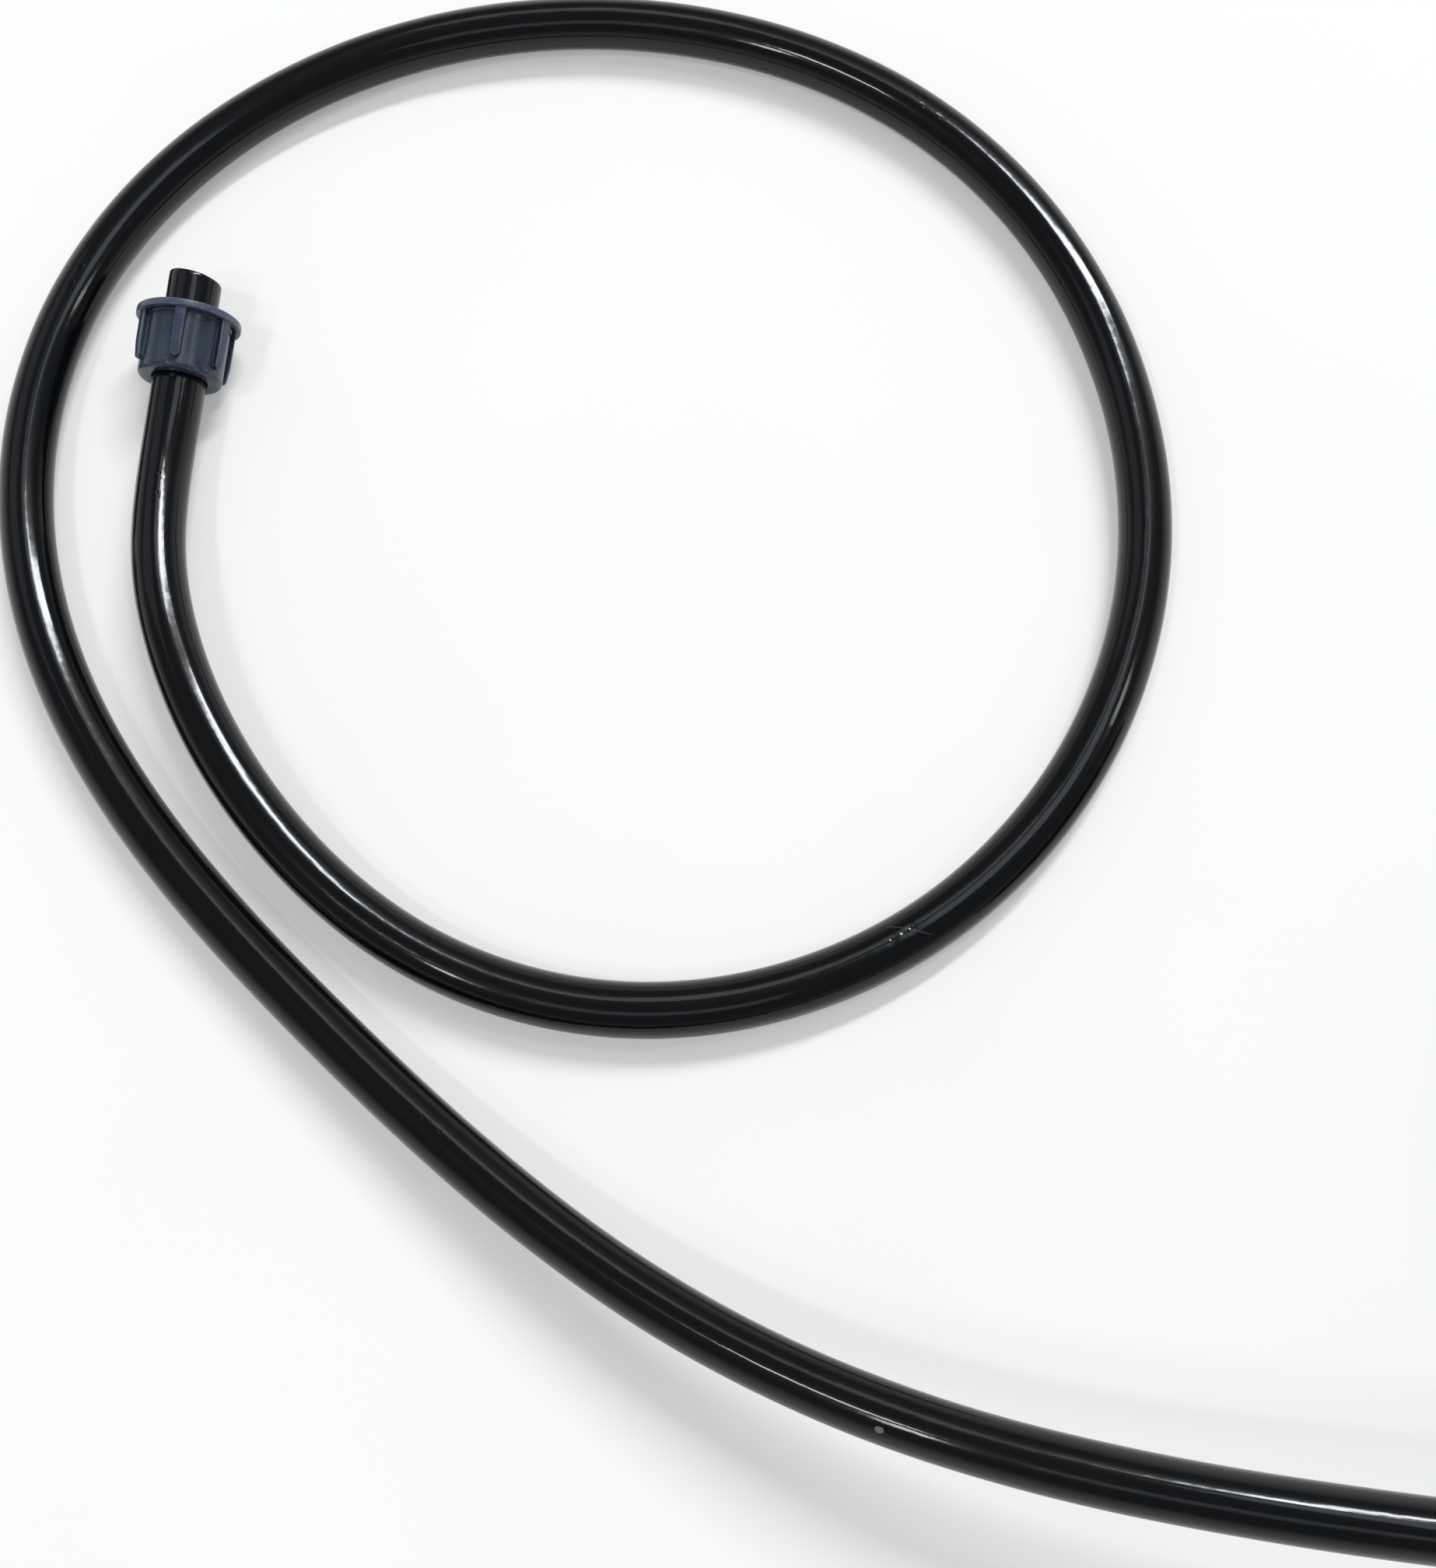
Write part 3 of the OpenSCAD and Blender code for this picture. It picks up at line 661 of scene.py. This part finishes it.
def nut_finish():
    """Satin slate blue: flow marks from the mould, rubbed crests, scuffs, painted highlights along
    the rib edges and flange rim, and painted shade on the rib flanks.
    """
    m = Finish("slate blue plastic")
    body = m.body()
    section = m.add("ShaderNodeUVMap", {}, uv_map="section").outputs["UV"]
    split = m.add("ShaderNodeSeparateXYZ", {0: section})
    radius, height = split.outputs[0], split.outputs[1]
    flow = m.noise(m.stretched(body, (0.55, 0.1, 0.55)), 1, 3, 0.6)
    cloud = m.noise(body, 0.14, 3, 0.55)
    tint = m.noise(m.stretched(body, (0.08, 0.05, 0.08)), 1, 1)
    scuff = m.noise(m.stretched(body, (0.8, 1.5, 0.8)), 1, 5, 0.75)
    speck = m.noise(body, 2.2, 3, 0.7)
    grain = m.noise(body, 6, 2, 0.6)
    # Painted shade: the rib flanks and their fillets are darkened where shade falls between rib and
    # body.
    painted_flank_shade = m.ranged(m.apart(radius, NUT_R + 0.65), 0.35, 0.6, 0.8, 0)
    taper = RIB_TAPER * RIB_TAPER_SLOPE
    tip_end = -RIB_REACH - RIB_TIP_HALF
    on_rib = m.maths("ADD", radius, m.ranged(height, tip_end, tip_end + RIB_TAPER, taper, 0))
    crest = m.ranged(on_rib, 14.1, 14.5)
    # Painted highlight: thin light lines along each rib's crest edges and round the flange's rim,
    # broken up by the flow marks.
    rib_edge_highlight = m.ranged(m.apart(on_rib, RIB_TOP - 0.25), 0.06, 0.24, 1, 0)
    rim_edge_highlight = m.ranged(m.apart(radius, FLANGE_R - 0.15), 0.05, 0.25, 0.6, 0)
    ends = m.ranged(m.apart(height, LEAST_WORN), 5.0, 9.0)
    bared = m.maths("ADD", 0.1, m.maths("MULTIPLY", ends, 0.7))
    worn = m.maths("MULTIPLY", m.ranged(scuff, 0.54, 0.72), bared)
    rubbed = m.maths("MULTIPLY", crest, m.ranged(speck, 0.3, 0.7, 0.2, 0.7))
    edge = m.maths("MAXIMUM", rib_edge_highlight, rim_edge_highlight)
    edge = m.maths("MULTIPLY", edge, m.ranged(flow, 0.35, 0.6, 0.45, 1))

    blue = m.mixed(m.ranged(cloud, 0.3, 0.7), DARK_BLUE, SLATE_BLUE)
    blue = m.mixed(m.ranged(tint, 0.42, 0.62, 0, 0.7), blue, GREEN_BLUE)
    blue = m.mixed(m.ranged(flow, 0.52, 0.75, 0, 0.6), blue, FLOW_BLUE)
    # Painted shade on the rib flanks.
    blue = m.mixed(painted_flank_shade, blue, FLANK_SHADE)
    blue = m.mixed(rubbed, blue, RUBBED_BLUE)
    # Painted highlight along the rib edges and the flange rim.
    blue = m.mixed(edge, blue, EDGE_HIGHLIGHT_BLUE)
    blue = m.mixed(worn, blue, WORN_GREY)
    m.feed(m.skin["Base Color"], blue)
    gloss = m.ranged(cloud, 0.3, 0.7, 0.17, 0.27)
    gloss = m.maths("ADD", gloss, m.maths("MULTIPLY", worn, 0.25))
    m.feed(m.skin["Roughness"], gloss)
    m.skin["IOR"].default_value = 1.46
    level = m.bumped(flow, 0.05)
    level = m.bumped(speck, 0.012, level)
    level = m.bumped(grain, 0.003, level)
    level = m.bumped(worn, 0.02, level)
    m.feed(m.skin["Normal"], level)
    return m.material


nut_blue = nut_finish()


def make_nut(name, face, axes):
    return turned_piece(name, nut_rings(), NUT_TURN - math.pi / 2, face, axes,
                        closed=True, material=nut_blue)


loose_nut = make_nut("loose_nut", NEAR_FACE, NEAR_AXES)
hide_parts("coupling_nut")
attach(loose_nut, "nut")

# ---------------------------------------------------------------------------
# The grip rings: one in each nut, a split ring of off-white acetal. It has a
# cone outside and teeth inside, which bite the hose when the nut is screwed up.
# ---------------------------------------------------------------------------

YELLOWED_WHITE = (0.72, 0.71, 0.65, 1)
ACETAL_WHITE = (0.80, 0.80, 0.77, 1)


def ring_finish():
    """Off-white acetal, faintly waxy, with fine moulding marks and a little yellowing."""
    m = Finish("off-white acetal")
    body = m.body()
    cloud = m.noise(body, 0.2, 3, 0.6)
    fine = m.noise(body, 3, 3, 0.6)
    white = m.mixed(m.ranged(cloud, 0.3, 0.7), YELLOWED_WHITE, ACETAL_WHITE)
    m.feed(m.skin["Base Color"], white)
    m.feed(m.skin["Roughness"], m.ranged(fine, 0.3, 0.7, 0.34, 0.48))
    m.skin["Subsurface Weight"].default_value = 0.15
    m.skin["Subsurface Scale"].default_value = 0.002
    m.feed(m.skin["Normal"], m.bumped(fine, 0.012))
    return m.material


def give_finish(material, *nodes):
    """Puts a finish on pieces that keep the shapes they come with."""
    for node in nodes:
        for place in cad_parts[node].material_slots:
            place.material = material


give_finish(ring_finish(), "grip_ring", "end_grip_ring")

# ---------------------------------------------------------------------------
# The bushes: a short sleeve of black polypropylene between each grip ring and
# its seal, moulded, which presses the seal as the nut is screwed up.
# ---------------------------------------------------------------------------

BUSH_BLACK = (0.022, 0.022, 0.024, 1)
BUSH_GREY = (0.036, 0.036, 0.038, 1)


def bush_finish():
    """Black polypropylene, satin, with a fine grain."""
    m = Finish("bush black")
    body = m.body()
    fine = m.noise(body, 4, 3, 0.6)
    tone = m.mixed(m.ranged(m.noise(body, 0.4, 2), 0.3, 0.7), BUSH_BLACK, BUSH_GREY)
    m.feed(m.skin["Base Color"], tone)
    m.feed(m.skin["Roughness"], m.ranged(fine, 0.3, 0.7, 0.36, 0.5))
    m.feed(m.skin["Normal"], m.bumped(fine, 0.012))
    return m.material


give_finish(bush_finish(), "pressure_bush", "end_bush")

# ---------------------------------------------------------------------------
# The seals: an O-ring of black nitrile rubber against each bush, moulded in one
# piece and slipped over the hose.
# ---------------------------------------------------------------------------

RUBBER_BLACK = (0.014, 0.014, 0.014, 1)
BLOOM_GREY = (0.045, 0.044, 0.042, 1)


def seal_finish():
    """Matt black nitrile rubber, with a thin bloom of dust."""
    m = Finish("seal rubber")
    body = m.body()
    bloom = m.noise(body, 0.9, 4, 0.65)
    tone = m.mixed(m.ranged(bloom, 0.5, 0.75), RUBBER_BLACK, BLOOM_GREY)
    m.feed(m.skin["Base Color"], tone)
    m.feed(m.skin["Roughness"], m.ranged(bloom, 0.3, 0.7, 0.55, 0.75))
    m.feed(m.skin["Normal"], m.bumped(m.noise(body, 6, 2), 0.01))
    return m.material


give_finish(seal_finish(), "seal_ring", "end_seal_ring")

# ---------------------------------------------------------------------------
# The end plug and its nut: the same blue plastic. A threaded spigot goes into
# a nut of the same kind and squeezes the rings on the hose's far end, and a
# round ribbed cap closes it.
# ---------------------------------------------------------------------------

SPIGOT_BACK = -5.2
SPIGOT_R = 11.1
SPIGOT_THREAD_H = 0.5
RECESS_R = 10.4
RECESS_DEPTH = 2.2
SOCKET_R = 8.1
SOCKET_END = 8.4
COLLAR_LOW = 0.6
CAP_LOW = 3.4
CAP_HIGH = 12.9
CAP_ROUND = 2.0
CAP_RIB_TIP = 9.8
# The cap's top is a little dished inside its rounded edge. Flat faces close the
# socket and the dish in the middle.
DISH_R = 8.0
DISH_DEPTH = 0.3
MIDDLE_R = 4.0


def make_plug():
    """The plug, from the bottom of its hose socket over its outside to the middle of its cap."""
    recess_end = SPIGOT_BACK + RECESS_DEPTH
    # Up the socket and the seal's recess to the spigot's end.
    rings = [(MIDDLE_R, SOCKET_END), (SOCKET_R - 0.3, SOCKET_END), (SOCKET_R, SOCKET_END - 0.3)]
    rings += [(SOCKET_R, 3.0), (SOCKET_R, recess_end + 0.2), (SOCKET_R + 0.2, recess_end)]
    rings += [(RECESS_R - 0.1, recess_end), (RECESS_R, recess_end - 0.1)]
    rings += [(RECESS_R, SPIGOT_BACK + 0.1), (RECESS_R + 0.1, SPIGOT_BACK)]
    # Along the thread and round the collar.
    rings += [(SPIGOT_R - 0.15, SPIGOT_BACK)]
    rings += thread(SPIGOT_R, SPIGOT_THREAD_H, SPIGOT_BACK + 0.15, COLLAR_LOW - 0.2,
                    shift=0.5, inward=False)
    rim = FLANGE_R - RIM_ROUND
    rings += [(SPIGOT_R + 0.1, COLLAR_LOW - 0.05), (SPIGOT_R + 0.3, COLLAR_LOW)]
    rings += [(13.5, COLLAR_LOW)]
    rings += arc(rim, COLLAR_LOW + RIM_ROUND, RIM_ROUND, -90, 0, 5)
    rings += arc(rim, CAP_LOW - RIM_ROUND, RIM_ROUND, 0, 90, 5)
    # Over the ribbed cap and into its dish.
    rings += fillet(NUT_R, CAP_RIB_TIP, CAP_LOW, CAP_LOW, -1)[::-1]
    side = np.concatenate([np.linspace(CAP_LOW + 0.8, 7.8, 5), np.arange(8.2, 10.9, 0.22)])
    rings += [(ribbed(NUT_R, CAP_RIB_TIP, CAP_LOW, z), z) for z in side]
    rings += arc(NUT_R - CAP_ROUND, CAP_HIGH - CAP_ROUND, CAP_ROUND, 2, 90, 8)
    rings += [(DISH_R, CAP_HIGH), (DISH_R - 0.8, CAP_HIGH - DISH_DEPTH + 0.05)]
    rings += [(MIDDLE_R, CAP_HIGH - DISH_DEPTH)]
    return turned_piece("ribbed_plug", rings, NUT_TURN, FAR_FACE, FAR_AXES,
                        closed=False, material=nut_blue)


plug = make_plug()
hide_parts("end_plug")
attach(plug, "hose")

plug_nut = make_nut("plug_nut", FAR_FACE, FAR_AXES)
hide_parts("end_nut")
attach(plug_nut, "hose")

# ---------------------------------------------------------------------------
# The ties: three bands of grey nylon drawn close round the coil. Each band
# passes through a square lock, where its teeth catch, and is cut off short.
# ---------------------------------------------------------------------------

TIE_ANGLES = (20, 140, 230)
TIE_W = 5.0
TIE_T = 1.2
TIE_GAP = 0.8
TIE_HEAD = 7.0
TIE_HEAD_H = 5.0
TIE_STUB = 1.5
TIE_CORNER = HOSE_R + TIE_GAP
TIE_TOOTH = 1.5
TIE_TOOTH_H = 0.22
TIE_SLOT_HALF = 0.95
COIL_INNER = COIL_RADIUS - LAYER_TURNS * TURN_PITCH
NYLON_DARK = (0.135, 0.14, 0.145, 1)
NYLON_GREY = (0.185, 0.19, 0.195, 1)
NYLON_SCUFFED = (0.33, 0.335, 0.34, 1)


def rounded_corners(a, b, r, steps=5):
    """Outline of a rectangle with round corners, a and b being half its sides."""
    points = []
    for k, (x, y) in enumerate(((a - r, b - r), (r - a, b - r), (r - a, r - b), (a - r, r - b))):
        turn = np.radians(90 * k + np.linspace(0, 90, steps))
        points.append(np.stack([x + r * np.cos(turn), y + r * np.sin(turn)], 1))
    return np.concatenate(points)


def tie_finish():
    """Grey nylon, a little see-through at its edges, scuffed where it was pulled tight."""
    m = Finish("grey nylon")
    body = m.body()
    cloud = m.noise(body, 0.12, 3, 0.6)
    drag = m.noise(m.stretched(body, (0.4, 0.4, 2.2)), 1, 4, 0.7)
    grey = m.mixed(m.ranged(cloud, 0.3, 0.7), NYLON_DARK, NYLON_GREY)
    grey = m.mixed(m.ranged(drag, 0.6, 0.75, 0, 0.5), grey, NYLON_SCUFFED)
    m.feed(m.skin["Base Color"], grey)
    m.feed(m.skin["Roughness"], m.ranged(drag, 0.3, 0.75, 0.3, 0.5))
    m.skin["Subsurface Weight"].default_value = 0.1
    m.skin["Subsurface Scale"].default_value = 0.001
    m.feed(m.skin["Normal"], m.bumped(drag, 0.02))
    return m.material


tie_grey = tie_finish()


def make_tie(name, angle):
    """One tie, made in the upright plane through the coil's axis: x outwards, z up."""
    def turns_from(way):
        """How much of a turn lies between the tie and that way from the coil's middle."""
        w = abs(angle - way) / 360
        return min(w, 1 - w)

    low = COIL_INNER + TURN_PITCH * turns_from(90) - HOSE_R - TIE_GAP
    high = COIL_RADIUS - TURN_PITCH * turns_from(270) + HOSE_R + TIE_GAP
    ceiling = COIL_TOP + HOSE_R + TIE_GAP
    middle = np.array([(low + high) / 2, (TIE_T + ceiling) / 2])
    half = np.array([high - low, ceiling - TIE_T]) / 2

    # The band is toothed inside and smooth outside, with rounded edges.
    fine = rounded_corners(*half, TIE_CORNER, steps=9)
    loop = np.concatenate([fine, fine[:1]])
    far = lengths(loop)
    count = 2 * int(round(far[-1] / TIE_TOOTH))
    at = np.arange(count) * far[-1] / count
    inner = np.stack([np.interp(at, far, loop[:, k]) for k in (0, 1)], 1)
    ahead = np.roll(inner, -1, axis=0) - np.roll(inner, 1, axis=0)
    out = np.stack([ahead[:, 1], -ahead[:, 0]], 1) / np.linalg.norm(ahead, axis=1)[:, None]
    tooth = TIE_TOOTH_H * (np.arange(count) % 2)
    edge = TIE_W / 2
    right = [(edge - 1, None), (edge - 0.9, 0), (edge - 0.25, 0.04), (edge, 0.3),
             (edge, TIE_T - 0.3), (edge - 0.3, TIE_T - 0.03), (edge - 0.9, TIE_T)]
    section = right + [(-y, up) for y, up in right[::-1]]
    band = []
    for i in range(count):
        for y, up in section:
            place = inner[i] + out[i] * (tooth[i] if up is None else up)
            band.append((place[0] + middle[0], y, place[1] + middle[1]))
    faces = between_rings(count, len(section), closed=True, outward=False)

    # The lock is a square block with a slot, and the cut end stands in it. Each
    # row is how far out, half its width, half its height and its corners' radius.
    foot, top = high + TIE_T - 0.1, high + TIE_T / 2 + TIE_HEAD_H
    lock_z = (ceiling + TIE_HEAD) / 2
    head, slot = TIE_HEAD / 2, TIE_SLOT_HALF
    block = [(foot, head - 0.2, head - 0.2, 0.9), (foot + 0.3, head, head, 1.2),
             (top - 1.2, head, head, 1.2), (top - 0.4, head - 0.1, head - 0.1, 1.2),
             (top, head - 0.5, head - 0.5, 1.0), (top, edge + 0.3, slot + 0.2, 0.3),
             (top - 0.3, edge + 0.1, slot, 0.3), (top - 3, edge + 0.1, slot, 0.3)]
    cut_end = [(x, edge, TIE_T / 2 - (0.15 if i % 2 else 0), 0.3)
               for i, x in enumerate(np.arange(top - 2.8, top + TIE_STUB - 0.2, 0.75))]
    cut_end += [(top + TIE_STUB - 0.1, edge, TIE_T / 2 - 0.1, 0.3),
                (top + TIE_STUB, edge - 0.2, TIE_T / 2 - 0.25, 0.2)]
    points = list(band)
    for rows in (block, cut_end):
        rings = [(x, rounded_corners(wide, high, r)) for x, wide, high, r in rows]
        first, around = len(points), len(rings[0][1])
        points += [(x, p[0], lock_z + p[1]) for x, ring in rings for p in ring]
        faces += between_rings(len(rings), around, first)
        faces.append(tuple(range(first, first + around))[::-1])
        last = first + (len(rings) - 1) * around
        faces.append(tuple(range(last, last + around)))
    c, s = math.cos(math.radians(angle)), math.sin(math.radians(angle))
    axes = np.array([[c, s, 0], [-s, c, 0], [0, 0, 1]])
    verts = np.array([*COIL_CENTRE, 0]) + np.array(points) @ axes
    return new_piece(name, verts, faces, tie_grey, smooth_below=35)


for number, angle in enumerate(TIE_ANGLES, 1):
    tie = make_tie(f"band_tie_{number}", angle)
    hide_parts(f"coil_tie_{number}")
    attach(tie, "hose")

# ---------------------------------------------------------------------------
# The floor: plain, pale and matt, with no edge near the hose. It lies a hair
# below the hose's lowest points and takes its shadow.
# ---------------------------------------------------------------------------

FLOOR_SIZE = 40
FLOOR_MIDDLE = (0.3, 0, -0.0002)
FLOOR_LIFT = 0.27
FLOOR_WHITE = (0.80, 0.785, 0.765, 1)
FLOOR_LIGHTER = (0.82, 0.805, 0.785, 1)


def pale_floor():
    """Matt off-white, lifted towards white where it is looked at or mirrored."""
    m = Finish("pale floor")
    where = m.add("ShaderNodeTexCoord", {}).outputs["Object"]
    tone = m.mixed(m.ranged(m.noise(where, 6, 3), 0.3, 0.7), FLOOR_WHITE, FLOOR_LIGHTER)
    m.feed(m.skin["Base Color"], tone)
    m.skin["Roughness"].default_value = 0.9
    m.skin["Specular IOR Level"].default_value = 0.1
    ray = m.add("ShaderNodeLightPath", {})
    seen = m.maths("MAXIMUM", ray.outputs["Is Camera Ray"], ray.outputs["Is Glossy Ray"])
    seen = m.maths("MAXIMUM", seen, ray.outputs["Is Transmission Ray"])
    m.skin["Emission Color"].default_value = (1, 1, 1, 1)
    m.feed(m.skin["Emission Strength"], m.maths("MULTIPLY", seen, FLOOR_LIFT))
    return m.material


bpy.ops.mesh.primitive_plane_add(size=FLOOR_SIZE, location=FLOOR_MIDDLE)
floor = bpy.context.object
floor.name = "floor"
floor.data.materials.append(pale_floor())

# ---------------------------------------------------------------------------
# The lamps and the room: one long soft window light from beyond the loop, with
# smaller and dimmer ones round it, in a pale room that dims towards its top.
# ---------------------------------------------------------------------------

LAMPS_AWAY = 8.0
LAMPS_FACE = Vector((0.15, -0.05, 0.0))
DAYLIGHT = (0.93, 0.97, 1)
BLUE_FILL = (0.84, 0.88, 1)
SKY_FILL = (0.84, 0.93, 1)
ROOM_TINT = (0.95, 0.975, 1.0, 1)
ROOM_LOW, ROOM_LOW_GLOW = 0.1, 0.85
ROOM_HIGH, ROOM_HIGH_GLOW = 0.42, 0.2


def lamp(name, azimuth, elevation, wide, high, lean, radiance, tint=(1, 1, 1)):
    """A flat lamp, by where it stands seen from the loop and how wide and high it looks.

    The angles are in degrees; lean turns it about the line from the loop to it.
    """
    a, e = math.radians(azimuth), math.radians(elevation)
    way = Vector((math.cos(e) * math.sin(a), math.cos(e) * math.cos(a), math.sin(e)))
    place = LAMPS_FACE + LAMPS_AWAY * way
    light = bpy.data.lights.new(name, "AREA")
    light.shape = "RECTANGLE"
    light.size = 2 * LAMPS_AWAY * math.tan(math.radians(wide) / 2)
    light.size_y = 2 * LAMPS_AWAY * math.tan(math.radians(high) / 2)
    light.energy = radiance * math.pi * light.size * light.size_y
    light.color = tint
    holder = bpy.data.objects.new(name, light)
    bpy.context.scene.collection.objects.link(holder)
    holder.location = place
    facing = (LAMPS_FACE - place).to_track_quat("-Z", "Y")
    holder.rotation_euler = (facing @ Quaternion((0, 0, 1), math.radians(lean))).to_euler()


# name, azimuth, elevation, width, height, lean, radiance and tint
lamp("window", 20.5, 52.3, 26, 4.7, 53, 45, DAYLIGHT)
lamp("lamp behind", -129.5, 64.6, 9, 3.4, 20, 34)
lamp("low lamp behind", -149.3, 55.6, 3.2, 6, 18, 26)
lamp("lamp right", 73, 50.6, 13, 3.5, 56, 8)
lamp("bounce", -11.2, 57.9, 8, 16, 17, 1.6)
lamp("left fill", -64, 44, 26, 26, 0, 0.5, BLUE_FILL)
lamp("rear fill", 176, 63, 24, 13, 0, 0.9, SKY_FILL)
lamp("high fill", 38, 72, 20, 14, -10, 2.0, SKY_FILL)

world = bpy.data.worlds.new("room")
world.use_nodes = True
bpy.context.scene.world = world
room = world.node_tree
up = room.nodes.new("ShaderNodeSeparateXYZ")
walls = room.nodes.new("ShaderNodeMapRange")
room.links.new(room.nodes.new("ShaderNodeTexCoord").outputs["Generated"], up.inputs[0])
room.links.new(up.outputs[2], walls.inputs["Value"])
for key, value in (("From Min", ROOM_LOW), ("From Max", ROOM_HIGH),
                   ("To Min", ROOM_LOW_GLOW), ("To Max", ROOM_HIGH_GLOW)):
    walls.inputs[key].default_value = value
room.links.new(walls.outputs["Result"], room.nodes["Background"].inputs["Strength"])
room.nodes["Background"].inputs["Color"].default_value = ROOM_TINT
bpy.context.scene.view_settings.view_transform = "Standard"
